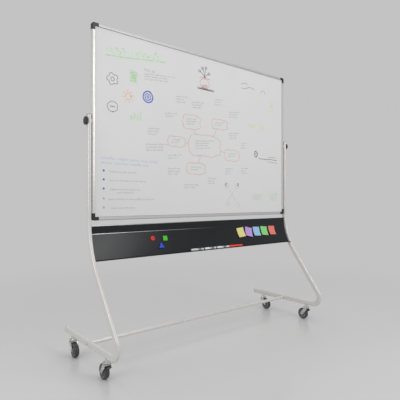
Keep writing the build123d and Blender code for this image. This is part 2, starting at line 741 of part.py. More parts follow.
# Threaded stems with the upper ball cup and the nut that carries the fork
with BuildPart() as caster_stems:
    for caster in casters.values():
        with BuildSketch(caster.offset(STEM_NUT_Z)):
            Circle(STEM_NUT_R)
        extrude(amount=STEM_NUT_T)
        with BuildSketch(caster.offset(STEM_NUT_Z)):
            Circle(STEM_R)
        extrude(amount=STEM_TOP - STEM_NUT_Z)
        with BuildSketch(caster.offset(UPPER_CUP_Z)):
            Circle(UPPER_CUP_R)
        extrude(amount=UPPER_CUP_TOP - UPPER_CUP_Z, taper=UPPER_CUP_TAPER)
        with BuildSketch(caster.offset(UPPER_CUP_TOP)):
            Circle(COLLAR_R)
        extrude(amount=COLLAR_TOP - UPPER_CUP_TOP)
    # saddle that lets the collar hug the round underside of the foot
    for side in SIDES:
        with BuildSketch(Plane.XZ.offset(-FOOT_LENGTH / 2)):
            with Locations((side * LEG_X, FOOT_Z)):
                SlotOverall(TUBE_D, TUBE_W, rotation=90)
        extrude(amount=FOOT_LENGTH, mode=Mode.SUBTRACT)
    for caster in casters.values():
        with BuildSketch(caster.offset(UPPER_CUP_TOP)):
            Circle(STEM_R)
        extrude(amount=STEM_TOP - UPPER_CUP_TOP)
save(caster_stems, "caster_stems")

# Threaded sockets welded inside the feet
with BuildPart() as caster_sockets:
    for caster in casters.values():
        with BuildSketch(caster.offset(FOOT_Z - TUBE_W / 2)):
            Circle(SOCKET_R)
            Circle(STEM_R, mode=Mode.SUBTRACT)
        extrude(amount=SOCKET_L)
save(caster_sockets, "caster_sockets")

# ---- magnets, notes and markers -----------------------------------------------------------
with BuildPart() as round_magnet:
    x, z, size = MAGNET_ROUND
    with BuildSketch(panel_plane(x, z)):
        Circle(size)
    extrude(amount=MAGNET_H)
    fillet(round_magnet.faces().sort_by(Axis.Y)[0].edges(), MAGNET_DOME)
save(round_magnet, "round_magnet")

with BuildPart() as square_magnet:
    x, z, size = MAGNET_SQUARE
    with BuildSketch(panel_plane(x, z)):
        RectangleRounded(size, size, MAGNET_CORNER)
    extrude(amount=MAGNET_H)
    fillet(square_magnet.faces().sort_by(Axis.Y)[0].edges(), MAGNET_EDGE)
save(square_magnet, "square_magnet")

with BuildPart() as triangle_magnet:
    x, z, size = MAGNET_TRIANGLE
    with BuildSketch(panel_plane(x, z)) as triangle:
        RegularPolygon(size, 3, rotation=90)
        fillet(triangle.vertices(), MAGNET_CORNER)
    extrude(amount=MAGNET_H)
    fillet(triangle_magnet.faces().sort_by(Axis.Y)[0].edges(), MAGNET_EDGE)
save(triangle_magnet, "triangle_magnet")

with BuildPart() as sticky_notes:
    note_face = BIG_R - NOTE_LIFT
    half_turn = degrees(NOTE_SIZE / 2 / BIG_R)
    note_angle = bend_angle(NOTE_Z)
    for x in NOTE_XS:
        with BuildSketch(Plane.YZ.offset(x - NOTE_SIZE / 2)):
            band(note_face - NOTE_T, note_face, note_angle - half_turn, note_angle + half_turn)
        extrude(amount=NOTE_SIZE)
save(sticky_notes, "sticky_notes")

marker_y = panel_foot_y - MARKER_OUT
marker_z = PANEL_FOOT_Z + CAP_R


def marker_cylinder(x, radius, length, mode=Mode.ADD):
    with BuildSketch(Plane.YZ.offset(x)) as profile:
        with Locations((marker_y, marker_z)):
            Circle(radius)
    extrude(profile.sketch, amount=length, mode=mode)


with BuildPart() as marker_barrels:
    for x, length in MARKERS:
        shoulder = x + CAP_L - CAP_GRIP
        marker_cylinder(shoulder, BARREL_R, length - CAP_L + CAP_GRIP)
        marker_cylinder(shoulder - NECK_L, NECK_R, NECK_L)
        marker_cylinder(shoulder - NECK_L - NIB_L, NIB_R, NIB_L)
save(marker_barrels, "marker_barrels")

with BuildPart() as marker_caps:
    for x, length in MARKERS:
        marker_cylinder(x, CAP_R, CAP_L)
        marker_cylinder(x + CAP_L - CAP_GRIP, BARREL_R, CAP_GRIP, Mode.SUBTRACT)
        marker_cylinder(x + CAP_L - CAP_HOLLOW_L, CAP_HOLLOW_R, CAP_HOLLOW_L, Mode.SUBTRACT)
save(marker_caps, "marker_caps")
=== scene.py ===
"""Looks for the rolling whiteboard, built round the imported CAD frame."""

import json
import random
from math import asin, cos, pi, radians, sin

import bmesh
import bpy
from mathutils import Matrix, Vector


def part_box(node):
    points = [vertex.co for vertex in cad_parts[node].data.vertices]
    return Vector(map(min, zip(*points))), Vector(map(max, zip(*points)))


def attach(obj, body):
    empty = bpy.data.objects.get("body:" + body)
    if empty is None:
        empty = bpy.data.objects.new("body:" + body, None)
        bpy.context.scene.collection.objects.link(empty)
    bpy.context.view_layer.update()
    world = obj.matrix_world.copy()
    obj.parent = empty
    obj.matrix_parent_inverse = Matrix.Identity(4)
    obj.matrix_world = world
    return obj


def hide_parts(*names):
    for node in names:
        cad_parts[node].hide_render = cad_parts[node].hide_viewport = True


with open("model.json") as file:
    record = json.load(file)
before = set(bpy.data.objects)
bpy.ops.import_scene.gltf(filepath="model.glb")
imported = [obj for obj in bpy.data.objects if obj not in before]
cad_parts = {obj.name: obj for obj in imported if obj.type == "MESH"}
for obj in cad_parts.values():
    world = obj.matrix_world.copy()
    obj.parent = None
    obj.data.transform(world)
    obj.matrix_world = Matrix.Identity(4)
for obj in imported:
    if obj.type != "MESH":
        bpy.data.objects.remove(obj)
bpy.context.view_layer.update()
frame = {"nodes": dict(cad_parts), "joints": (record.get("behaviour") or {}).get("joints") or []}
nodes = frame["nodes"]

CASTERS = ("front_left", "front_right", "rear_left", "rear_right")

# ---- places taken from the frame ---------------------------------------------
board_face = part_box("front_writing_sheet")[0].y
board_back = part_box("back_writing_sheet")[1].y
plane_y = (board_face + board_back) / 2
joints = {joint["name"]: joint for joint in frame["joints"]}


# ---- materials -----------------------------------------------------------------
def material(
    name,
    color,
    roughness,
    metallic=0.0,
    mottle=(40.0, 0.05),
    gloss=(15.0, 0.08),
    relief=(900.0, 0.15, 0.0002),
    stretch=(1.0, 1.0, 1.0),
    coat=0.0,
    coat_roughness=0.1,
    specular=0.5,
    dirt=None,
):
    """A surface whose colour, roughness and relief vary with noise over the piece.

    mottle and gloss are (scale, amount), relief is (scale, strength, depth in
    metres), stretch draws the noise out along an axis, and dirt is
    (scale, amount, colour) for dust or scuffs on top.
    """
    made = bpy.data.materials.new(name)
    made.use_nodes = True
    tree = made.node_tree
    add, join = tree.nodes.new, tree.links.new
    shader = tree.nodes["Principled BSDF"]
    shader.inputs["Metallic"].default_value = metallic
    shader.inputs["Coat Weight"].default_value = coat
    shader.inputs["Coat Roughness"].default_value = coat_roughness
    shader.inputs["Specular IOR Level"].default_value = specular
    place = add("ShaderNodeTexCoord")
    mapping = add("ShaderNodeMapping")
    mapping.inputs["Scale"].default_value = stretch
    join(place.outputs["Object"], mapping.inputs["Vector"])

    def noise(scale, detail=4.0):
        node = add("ShaderNodeTexNoise")
        node.inputs["Scale"].default_value = scale
        node.inputs["Detail"].default_value = detail
        join(mapping.outputs["Vector"], node.inputs["Vector"])
        return node.outputs["Fac"]

    def spread(source, low, high, from_low=0.3, from_high=0.7):
        node = add("ShaderNodeMapRange")
        node.inputs["From Min"].default_value = from_low
        node.inputs["From Max"].default_value = from_high
        node.inputs["To Min"].default_value = low
        node.inputs["To Max"].default_value = high
        join(source, node.inputs["Value"])
        return node.outputs["Result"]

    def blend(amount, first, second):
        node = add("ShaderNodeMix")
        node.data_type = "RGBA"
        join(amount, node.inputs["Factor"])
        for socket, value in (("A", first), ("B", second)):
            target = [s for s in node.inputs if s.name == socket and s.type == "RGBA"][0]
            if isinstance(value, bpy.types.NodeSocket):
                join(value, target)
            else:
                target.default_value = (*value, 1.0)
        return [s for s in node.outputs if s.type == "RGBA"][0]

    scale, amount = mottle
    light = tuple(min(1.0, c * (1 + amount)) for c in color)
    dark = tuple(c * (1 - amount) for c in color)
    surface = blend(spread(noise(scale), 0, 1), dark, light)
    if dirt:
        scale, amount, dirt_color = dirt
        surface = blend(spread(noise(scale, 8.0), 0, amount, 0.52, 0.75), surface, dirt_color)
    join(surface, shader.inputs["Base Color"])
    scale, amount = gloss
    rough = spread(noise(scale, 6.0), max(0.02, roughness - amount), roughness + amount)
    join(rough, shader.inputs["Roughness"])
    scale, strength, depth = relief
    bump = add("ShaderNodeBump")
    bump.inputs["Strength"].default_value = strength
    bump.inputs["Distance"].default_value = depth
    join(noise(scale), bump.inputs["Height"])
    join(bump.outputs["Normal"], shader.inputs["Normal"])
    return made


def paint(made, *names):
    """Give CAD nodes this material."""
    for name in names:
        mesh = nodes[name].data
        mesh.materials.clear()
        mesh.materials.append(made)


powder_coat = material(
    "powder_coat", (0.715, 0.705, 0.685), 0.28, 0.15, mottle=(3.5, 0.008), gloss=(4, 0.012),
    relief=(900, 0.10, 0.0001), coat=0.55, coat_roughness=0.12,
)
# the top and bottom rails take a darker copy of the side rails' aluminium: painted shade
shaded_rails_x = material(
    "anodised_shaded_along_x", (0.58, 0.58, 0.575), 0.44, 0.40, mottle=(300, 0.04), gloss=(200, 0.08),
    relief=(500, 0.10, 0.0001), stretch=(0.02, 1, 1),
)
brushed_z = material(
    "anodised_along_z", (0.66, 0.66, 0.652), 0.38, 0.45, mottle=(300, 0.04), gloss=(200, 0.08),
    relief=(500, 0.10, 0.0001), stretch=(1, 1, 0.02),
)
corner_plastic = material(
    "corner_plastic", (0.014, 0.014, 0.015), 0.34, mottle=(200, 0.15), relief=(2500, 0.25, 0.0002)
)
cap_plastic = material(
    "cap_plastic", (0.16, 0.16, 0.16), 0.50, mottle=(200, 0.10), relief=(2500, 0.35, 0.0002)
)
zinc = material(
    "bright_zinc", (0.68, 0.68, 0.66), 0.28, 1.0, mottle=(120, 0.08), gloss=(60, 0.12),
    relief=(900, 0.12, 0.0002), dirt=(90, 0.25, (0.40, 0.39, 0.36)),
)
panel_paint = material(
    "slate_paint", (0.0040, 0.0058, 0.0078), 0.25, mottle=(12, 0.10), gloss=(8, 0.02),
    relief=(450, 0.06, 0.0002), specular=0.38,
)
# bright metal paint on the dark panel's folds: a painted highlight along the crease and the top
# edge
fold_highlight = material(
    "panel_fold_highlight", (0.74, 0.77, 0.80), 0.24, 0.85, mottle=(12, 0.10), gloss=(8, 0.03),
    relief=(450, 0.05, 0.0001), specular=0.9,
)
# the folds' bright paint is a painted highlight, full at the left and fading towards the right
HIGHLIGHT_FROM, HIGHLIGHT_TO = -0.9, 0.1  # x where the painted highlight is full, and where it has faded
HIGHLIGHT_FULL, HIGHLIGHT_FAINT = 1.0, 0.06  # share of the colour at those two places
highlight_tree = fold_highlight.node_tree
shader = highlight_tree.nodes["Principled BSDF"]
full_color = shader.inputs["Base Color"].links[0].from_socket
along = highlight_tree.nodes.new("ShaderNodeSeparateXYZ")
fading = highlight_tree.nodes.new("ShaderNodeMapRange")
fading.inputs["From Min"].default_value = HIGHLIGHT_FROM
fading.inputs["From Max"].default_value = HIGHLIGHT_TO
fading.inputs["To Min"].default_value = HIGHLIGHT_FULL
fading.inputs["To Max"].default_value = HIGHLIGHT_FAINT
highlight_scale = highlight_tree.nodes.new("ShaderNodeVectorMath")
highlight_scale.operation = "SCALE"
highlight_tree.links.new(highlight_tree.nodes["Texture Coordinate"].outputs["Object"], along.inputs[0])
highlight_tree.links.new(along.outputs["X"], fading.inputs["Value"])
highlight_tree.links.new(full_color, highlight_scale.inputs[0])
highlight_tree.links.new(fading.outputs["Result"], highlight_scale.inputs["Scale"])
highlight_tree.links.new(highlight_scale.outputs["Vector"], shader.inputs["Base Color"])

shelf_finish = material(
    "dark_anodising", (0.0025, 0.0028, 0.0030), 0.36, mottle=(250, 0.10), stretch=(0.02, 1, 1),
    relief=(500, 0.12, 0.0001), specular=0.15,
)
enamel = material(
    "white_enamel", (0.775, 0.775, 0.775), 0.38, mottle=(3, 0.010), gloss=(4, 0.06),
    relief=(30, 0.03, 0.0002), specular=0.35, stretch=(1, 1, 0.6),
    dirt=(9, 0.04, (0.71, 0.71, 0.72)),
)
honeycomb = material("honeycomb_board", (0.45, 0.33, 0.20), 0.85, relief=(400, 0.5, 0.0005))
nylon = material("nylon", (0.78, 0.77, 0.72), 0.45, relief=(1500, 0.2, 0.0002))
knob_black = material(
    "knob_black", (0.018, 0.018, 0.018), 0.42, mottle=(150, 0.2), relief=(2200, 0.4, 0.0002)
)
brass = material("turned_brass", (0.72, 0.55, 0.26), 0.3, 1.0, relief=(800, 0.1, 0.0001))
red_gloss = material("red_gloss", (0.66, 0.022, 0.012), 0.12, coat=0.4, mottle=(80, 0.05))
green_gloss = material("green_gloss", (0.07, 0.60, 0.02), 0.15, coat=0.4, mottle=(80, 0.05))
blue_gloss = material("blue_gloss", (0.008, 0.075, 0.72), 0.15, coat=0.4, mottle=(80, 0.05))
wheel_plastic = material(
    "wheel_plastic", (0.26, 0.26, 0.262), 0.40, mottle=(150, 0.10), relief=(1800, 0.3, 0.0002),
    dirt=(70, 0.25, (0.16, 0.155, 0.15)),
)
rubber = material(
    "tyre_rubber", (0.055, 0.055, 0.056), 0.50, mottle=(90, 0.15), relief=(1200, 0.4, 0.0003),
    dirt=(45, 0.35, (0.14, 0.137, 0.13)),
)
pedal_black = material(
    "pedal_black", (0.02, 0.02, 0.021), 0.35, mottle=(150, 0.15), relief=(1500, 0.3, 0.0002),
    dirt=(110, 0.2, (0.35, 0.35, 0.34)),
)

paint(powder_coat, "left_leg", "right_leg", "crossbar")
paint(shaded_rails_x, "top_rail", "bottom_rail")
paint(brushed_z, "left_rail", "right_rail")
paint(corner_plastic, "corner_caps")
paint(cap_plastic, "leg_top_caps", "foot_end_caps", "crossbar_plugs")
paint(zinc, "crossbar_bolts", "panel_screws", "pivot_blocks", "pivot_studs", "pivot_washers")
paint(zinc, "caster_stems", "caster_sockets")
paint(panel_paint, "magnet_panel", "panel_brackets")
paint(shelf_finish, "pen_shelf")
paint(enamel, "front_writing_sheet", "back_writing_sheet")
paint(honeycomb, "board_core")
paint(nylon, "pivot_bushes", "board_spacers")
paint(knob_black, "left_knob", "right_knob")
paint(brass, "left_knob_insert", "right_knob_insert")
paint(red_gloss, "round_magnet")
paint(green_gloss, "square_magnet")
paint(blue_gloss, "triangle_magnet")
for word in CASTERS:
    paint(zinc, f"{word}_fork", f"{word}_axle")
    paint(wheel_plastic, f"{word}_wheel_core")
    paint(rubber, f"{word}_tyre")
    paint(pedal_black, f"{word}_brake_pedal")


SHARP = 38.0  # edges steeper than this stay sharp on smooth pieces


# ---- mesh helpers ----------------------------------------------------------------
def piece(name, points, faces, made, body, smooth=False):
    """A mesh object in the row frame that rides on a body."""
    mesh = bpy.data.meshes.new(name)
    mesh.from_pydata(points, [], faces)
    mesh.validate()
    solid = bmesh.new()
    solid.from_mesh(mesh)
    bmesh.ops.recalc_face_normals(solid, faces=solid.faces)
    solid.to_mesh(mesh)
    solid.free()
    mesh.materials.append(made)
    if smooth:
        mesh.polygons.foreach_set("use_smooth", [True] * len(mesh.polygons))
        mesh.set_sharp_from_angle(angle=radians(SHARP))
    made_piece = bpy.data.objects.new(name, mesh)
    bpy.context.scene.collection.objects.link(made_piece)
    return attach(made_piece, body)


# ---- drawings on the board -------------------------------------------------------------
INK_BACK = 0.00004  # gap between the enamel and the ink
INK_T = 0.00012
strokes = {}  # ink name -> list of (points, width)
hand = random.Random(7)


def through(points, steps=4):
    """A smooth line through (x, z) points."""
    line = []
    for i in range(len(points) - 1):
        a = points[max(i - 1, 0)]
        b, c = points[i], points[i + 1]
        d = points[min(i + 2, len(points) - 1)]
        for k in range(steps):
            t = k / steps
            line.append(
                tuple(
                    0.5
                    * (
                        2 * b[n]
                        + (c[n] - a[n]) * t
                        + (2 * a[n] - 5 * b[n] + 4 * c[n] - d[n]) * t * t
                        + (3 * b[n] - a[n] - 3 * c[n] + d[n]) * t**3
                    )
                    for n in (0, 1)
                )
            )
    line.append(tuple(points[-1]))
    return line


def draw(ink, points, width, steps=4):
    """One stroke of this ink, kept until all strokes are known."""
    strokes.setdefault(ink, []).append((through(points, steps), width))


def ring(ink, x, z, rx, rz, width, lobes=0, depth=0.0, wobble=0.05, square=0.0):
    """A hand-drawn closed loop, with lobes for a cloud or a flower."""
    count = max(18, lobes * 8)
    phase = hand.uniform(0, 2 * pi)
    points = []
    for i in range(count + 2):
        a = phase + 2 * pi * i / count
        r = 1 + depth * abs(sin(lobes * a / 2)) - depth / 2 + hand.uniform(-wobble, wobble)
        r *= 1 + square * sin(2 * a) ** 2
        points.append((x + rx * r * cos(a), z + rz * r * sin(a)))
    draw(ink, points, width, 3)


WORD_GAP = 0.7  # between two words, in letter heights


def scrawl(ink, x, z, length, height, width, slope=0.0, pitch=0.38):
    """Wordlike loops that spell nothing."""
    end = x + length
    while x < end - height:
        word = min(end - x, height * hand.uniform(2.2, 5.5))
        count = max(4, int(word / (height * pitch)))
        points = []
        for i in range(count + 1):
            reach = hand.uniform(0.25, 0.5) * (1.7 if hand.random() < 0.15 else 1)
            up = reach if i % 2 else -reach * 0.8
            dx = word * i / count + hand.uniform(-0.08, 0.08) * height
            points.append((x + dx, z + slope * dx + up * height))
        draw(ink, points, width, 3)
        x += word + height * WORD_GAP
        z += slope * (word + height * WORD_GAP)


UPPER_HALF_Z = 1.3
UPPER_SLOPE, LOWER_SLOPE = 0.09, 0.02  # how steeply lines rise to the right
SMALL_H, SMALL_W = 0.010, 0.0013  # height of the small writing, and width of its strokes


def lines(ink, x, z, length, rows=3, pitch=0.019):
    """A few rows of small scrawl, of uneven length."""
    slope = UPPER_SLOPE if z > UPPER_HALF_Z else LOWER_SLOPE
    for row in range(rows):
        short = 1 - 0.35 * hand.random() * (row > 0)
        scrawl(ink, x, z - row * pitch, length * short, SMALL_H, SMALL_W, slope)


def hatch(ink, x, z, wide, high, rows, width):
    """Back and forth shading inside a box."""
    points = []
    for i in range(rows + 1):
        side = wide / 2 * (1 if i % 2 else -1) * hand.uniform(0.85, 1.0)
        points.append((x + side, z + high / 2 - high * i / rows))
    draw(ink, points, width, 3)


# heading with an underline
scrawl("mint", -0.80, 1.940, 0.17, 0.040, 0.0085, 0.10, 0.52)
scrawl("mint", -0.62, 1.951, 0.25, 0.040, 0.0090, 0.08, 0.46)
draw("green", [(-0.813, 1.900), (-0.66, 1.914), (-0.50, 1.934), (-0.366, 1.947)], 0.0075)
# a flower, a hatched tile, a sun, a target, a button and a bar chart
ring("black", -0.762, 1.760, 0.034, 0.032, 0.0032, lobes=5, depth=0.35)
ring("black", -0.762, 1.760, 0.012, 0.012, 0.0030)
hatch("green", -0.612, 1.803, 0.066, 0.072, 9, 0.0070)
SUN_X, SUN_Z, SUN_RAYS = -0.650, 1.670, 8
ring("orange", SUN_X, SUN_Z, 0.020, 0.020, 0.0060)
for i in range(SUN_RAYS):
    a = 2 * pi * i / SUN_RAYS + 0.2
    ray = [(SUN_X + r * cos(a), SUN_Z + r * sin(a)) for r in (0.029, 0.042)]
    draw("orange", ray, 0.0055)
ring("blue", -0.503, 1.689, 0.037, 0.037, 0.0085, wobble=0.03)
ring("blue", -0.503, 1.689, 0.022, 0.022, 0.0060, wobble=0.08)
ring("blue", -0.503, 1.689, 0.008, 0.008, 0.0060)
ring("black", -0.762, 1.588, 0.035, 0.033, 0.0030)
for dx in (-0.012, 0.0, 0.012):
    ring("black", -0.762 + dx, 1.588, 0.0025, 0.0025, 0.0032)
for i, high in enumerate((0.030, 0.048, 0.040, 0.062)):
    hatch("green", -0.628 + 0.023 * i, 1.522 + high / 2, 0.011, high, 7, 0.0040)
# a note beside them
scrawl("violet", -0.535, 1.866, 0.085, 0.020, 0.0028)
lines("grey", -0.530, 1.838, 0.25, rows=3, pitch=0.017)
# a pot plant on a table
ring("red", -0.010, 1.868, 0.046, 0.034, 0.0045, wobble=0.03)
draw("red", [(-0.060, 1.905), (-0.02, 1.909), (0.042, 1.905)], 0.006)
hatch("red", -0.008, 1.850, 0.06, 0.022, 5, 0.0032)
STEM_X, STEM_Z = -0.010, 1.908
for dx, dz in ((-0.050, 0.045), (-0.022, 0.070), (0.012, 0.078), (0.042, 0.040)):
    bend, tip = (STEM_X + dx * 0.4, STEM_Z + dz * 0.6), (STEM_X + dx, STEM_Z + dz)
    draw("black", [(STEM_X, STEM_Z), bend, tip], 0.0035)
    ring("black", STEM_X + dx, STEM_Z + dz, 0.010, 0.008, 0.0035)
hatch("black", 0.0, 1.826, 0.17, 0.012, 3, 0.0040)
# a cloud map
for x, z, rx, rz, rows in (
    (-0.133, 1.567, 0.078, 0.050, 3),
    (0.140, 1.582, 0.077, 0.037, 2),
    (-0.267, 1.414, 0.073, 0.035, 2),
    (-0.008, 1.407, 0.150, 0.076, 4),
    (0.272, 1.354, 0.076, 0.042, 2),
    (-0.092, 1.233, 0.085, 0.040, 2),
):
    ring("rose", x, z, rx, rz, 0.0038, lobes=7, depth=0.10, wobble=0.035, square=0.20)
    lines("grey", x - rx * 0.6, z + (rows - 1) * 0.009, rx * 1.2, rows=rows, pitch=0.018)
for start, end in (
    ((-0.09, 1.475), (-0.12, 1.515)),
    ((0.07, 1.475), (0.11, 1.540)),
    ((-0.16, 1.410), (-0.19, 1.413)),
    ((0.145, 1.380), (0.192, 1.368)),
    ((-0.05, 1.328), (-0.07, 1.276)),
):
    draw("grey", [start, end], 0.0018)
for x, z, length, rows in (
    (-0.273, 1.730, 0.10, 3),
    (-0.130, 1.712, 0.11, 3),
    (0.090, 1.765, 0.085, 3),
    (-0.366, 1.600, 0.10, 2),
    (0.238, 1.690, 0.12, 3),
    (-0.503, 1.480, 0.10, 3),
    (-0.519, 1.372, 0.18, 3),
    (-0.341, 1.312, 0.12, 2),
    (-0.341, 1.222, 0.11, 3),
    (-0.200, 1.112, 0.13, 2),
    (0.020, 1.166, 0.08, 3),
    (0.196, 1.247, 0.08, 3),
    (0.371, 1.258, 0.08, 3),
    (0.371, 1.458, 0.07, 3),
    (0.238, 1.524, 0.11, 3),
):
    lines("grey", x, z, length, rows=rows)
# a blue list
scrawl("pale_blue", -0.838, 1.262, 0.41, 0.019, 0.0020, -0.012)
scrawl("pale_blue", -0.838, 1.234, 0.36, 0.019, 0.0020, -0.012)
for z, start, length in (
    (1.186, -0.782, 0.19), (1.131, -0.786, 0.27), (1.075, -0.782, 0.22), (1.014, -0.790, 0.33),
    (0.959, -0.770, 0.17),
):
    ring("blue" if z > 1.05 else "violet", -0.822, z, 0.0030, 0.0032, 0.0074, wobble=0.02)
    scrawl("grey", start, z - 0.006, length, SMALL_H, SMALL_W)
scrawl("grey", -0.730, 1.050, 0.12, SMALL_H, SMALL_W)
# odds and ends towards the right edge
ring("black", 0.545, 1.385, 0.020, 0.024, 0.0042, wobble=0.20)
hatch("black", 0.548, 1.384, 0.035, 0.050, 4, 0.0034)
draw("black", [(0.575, 1.352), (0.65, 1.348), (0.73, 1.352), (0.815, 1.346)], 0.0040)
draw("grey", [(0.70, 1.368), (0.76, 1.371), (0.805, 1.366)], 0.0036)
draw("grey", [(0.69, 1.330), (0.75, 1.327), (0.820, 1.322)], 0.0036)
scrawl("yellow", 0.455, 1.612, 0.25, 0.026, 0.0055)
ring("yellow", 0.742, 1.832, 0.018, 0.018, 0.0045)
hatch("yellow", 0.742, 1.780, 0.045, 0.07, 5, 0.0045)
draw("grey", [(0.371, 1.932), (0.41, 1.950), (0.45, 1.944)], 0.004)
draw("grey", [(0.372, 1.905), (0.42, 1.906), (0.47, 1.925), (0.53, 1.915)], 0.004)
draw("grey", [(0.600, 1.905), (0.64, 1.925), (0.66, 1.900)], 0.004)
for x, high in ((0.560, 0.050), (0.760, 0.070)):
    hatch("pale_green", x, 1.030, 0.12, high, 7, 0.0028)
for x, z in ((0.215, 1.118), (0.325, 1.110), (0.225, 0.975), (0.335, 0.965)):
    ring("grey", x, z, 0.020, 0.016, 0.0016, wobble=0.10)
for x in (0.205, 0.335):
    hatch("black", x, 1.126, 0.022, 0.026, 3, 0.0034)
draw("grey", [(0.243, 1.085), (0.27, 1.05), (0.30, 1.085)], 0.0018)
draw("grey", [(0.235, 1.00), (0.27, 1.045), (0.315, 0.995)], 0.0018)

INKS = {
    "green": (0.50, 0.76, 0.45),
    "pale_green": (0.55, 0.71, 0.60),
    "black": (0.13, 0.13, 0.135),
    "grey": (0.36, 0.36, 0.38),
    "mint": (0.60, 0.77, 0.56),
    "orange": (0.87, 0.54, 0.34),
    "blue": (0.09, 0.15, 0.62),
    "pale_blue": (0.46, 0.50, 0.72),
    "violet": (0.52, 0.50, 0.68),
    "red": (0.78, 0.42, 0.40),
    "rose": (0.76, 0.46, 0.44),
    "yellow": (0.77, 0.75, 0.47),
}


STROKE_END = 0.75  # share of the width at the two ends of a stroke


def ink_mesh(ink, drawn):
    """Every stroke of one ink as a thin closed strip in front of the sheet."""
    points, faces = [], []
    for line, width in drawn:
        first = len(points)
        count = len(line)
        for i, (x, z) in enumerate(line):
            ahead, behind = line[min(i + 1, count - 1)], line[max(i - 1, 0)]
            run, rise = ahead[0] - behind[0], ahead[1] - behind[1]
            size = max((run * run + rise * rise) ** 0.5, 1e-6)
            half = width / 2 * (STROKE_END if i in (0, count - 1) else 1)
            nx, nz = -rise / size * half, run / size * half
            for sign, y in ((1, 0), (-1, 0), (-1, 1), (1, 1)):
                depth = board_face - INK_BACK - INK_T * (1 - y)
                points.append((x + sign * nx, depth, z + sign * nz))
        for i in range(count - 1):
            a, b = first + 4 * i, first + 4 * (i + 1)
            for k in range(4):
                m = (k + 1) % 4
                faces.append((a + k, a + m, b + m, b + k))
        faces.append((first + 3, first + 2, first + 1, first))
        last = first + 4 * (count - 1)
        faces.append((last, last + 1, last + 2, last + 3))
    made = material(
        f"{ink}_ink", INKS[ink], 0.45, mottle=(120, 0.25), relief=(1500, 0.2, 0.0001),
        dirt=(150, 0.35, tuple(0.5 * c + 0.35 for c in INKS[ink])),
    )
    return piece(f"{ink}_drawings", points, faces, made, "board")


for ink, drawn in strokes.items():
    ink_mesh(ink, drawn)

# ---- sticky notes -----------------------------------------------------------------------
BEND_Z, BEND_R = 0.8920274, 0.55  # the curve of the panel's face
BEND_Y = plane_y - BEND_R
NOTE = 0.076
NOTE_T = 0.00025
NOTE_GRID = 14
NOTE_OFF = 0.0004  # gap behind a note
CURL_POWER, CORNER_CURL = 2.4, 0.6  # how the lower edge and its corners lift
NOTES = (  # name, x of the middle, turn in degrees, curl, colour
    ("yellow", 0.355, 5.0, 0.006, (0.78, 0.76, 0.30)),
    ("lilac", 0.443, -13.0, 0.008, (0.56, 0.34, 0.78)),
    ("sky", 0.537, -2.0, 0.006, (0.34, 0.60, 0.82)),
    ("mint", 0.629, -5.0, 0.007, (0.27, 0.72, 0.25)),
    ("salmon", 0.727, -2.0, 0.006, (0.88, 0.22, 0.18)),
)
note_low, note_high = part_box("sticky_notes")
note_angle = asin((BEND_Z - (note_low.z + note_high.z) / 2) / BEND_R)

for word, x_mid, turn, curl, color in NOTES:
    points, faces = [], []
    turn_cos, turn_sin = cos(radians(turn)), sin(radians(turn))
    wide = NOTE_GRID + 1
    for layer in (0, 1):
        for row in range(wide):
            down = row / NOTE_GRID
            for column in range(wide):
                across = column / NOTE_GRID - 0.5
                u = NOTE * across
                v = NOTE * (down - 0.5)
                x = x_mid + u * turn_cos + v * turn_sin
                s = -u * turn_sin + v * turn_cos
                lift = curl * down**CURL_POWER * (1 + CORNER_CURL * (2 * across) ** 2) + NOTE_OFF
                r = BEND_R - lift - layer * NOTE_T
                a = note_angle + s / BEND_R
                points.append((x, BEND_Y + r * cos(a), BEND_Z - r * sin(a)))
    shift = wide * wide
    for row in range(NOTE_GRID):
        for column in range(NOTE_GRID):
            a = row * wide + column
            faces.append((a, a + wide, a + wide + 1, a + 1))
            b = a + shift
            faces.append((b, b + 1, b + wide + 1, b + wide))
    rim = list(range(wide))
    rim += [wide - 1 + wide * k for k in range(1, wide)]
    rim += [shift - 1 - k for k in range(1, wide)]
    rim += [wide * (NOTE_GRID - k) for k in range(1, NOTE_GRID)]
    for k, a in enumerate(rim):
        b = rim[(k + 1) % len(rim)]
        faces.append((a, b, b + shift, a + shift))
    paper = material(
        f"{word}_paper", color, 0.80, mottle=(500, 0.04), relief=(900, 0.25, 0.0002)
    )
    note = piece(f"{word}_note", points, faces, paper, "stand", smooth=True)
    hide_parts("sticky_notes")

# ---- markers -------------------------------------------------------------------------------
marker_low, marker_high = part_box("marker_caps")
MARKER_Y = (marker_low.y + marker_high.y) / 2
MARKER_Z = (marker_low.z + marker_high.z) / 2
CAP_L = 0.042
MARKER_SEGMENTS = 36
FLUTED_FROM_R = 0.0085  # the wide end of a cap has fine flutes


def turned(name, x0, profile, made, flute_depth=0.0):
    """A body of revolution along X, from (distance, radius) pairs."""
    segments = MARKER_SEGMENTS
    points, faces = [], []
    for dx, r in profile:
        for k in range(segments):
            a = 2 * pi * k / segments
            cut = flute_depth if r > FLUTED_FROM_R and k % 2 else 0.0
            points.append((x0 + dx, MARKER_Y + (r - cut) * cos(a), MARKER_Z + (r - cut) * sin(a)))
    for i in range(len(profile) - 1):
        for k in range(segments):
            m = (k + 1) % segments
            a, b = i * segments, (i + 1) * segments
            faces.append((a + k, b + k, b + m, a + m))
    faces.append(tuple(range(segments)))
    last = (len(profile) - 1) * segments
    faces.append(tuple(reversed(range(last, last + segments))))
    return piece(name, points, faces, made, "stand", True)


white_shell = material(
    "marker_white", (0.84, 0.84, 0.82), 0.22, mottle=(60, 0.02), relief=(1500, 0.05, 0.0001)
)
label_grey = material("label_grey", (0.24, 0.25, 0.27), 0.40, mottle=(200, 0.08))
label_pale = material("label_pale", (0.70, 0.71, 0.72), 0.35, mottle=(200, 0.04))
marker_red = material("marker_red", (0.95, 0.075, 0.035), 0.25, mottle=(60, 0.04))
marker_blue = material("marker_blue", (0.02, 0.09, 0.55), 0.25, mottle=(60, 0.05))
marker_black = material("marker_black", (0.03, 0.03, 0.03), 0.30, mottle=(60, 0.08))

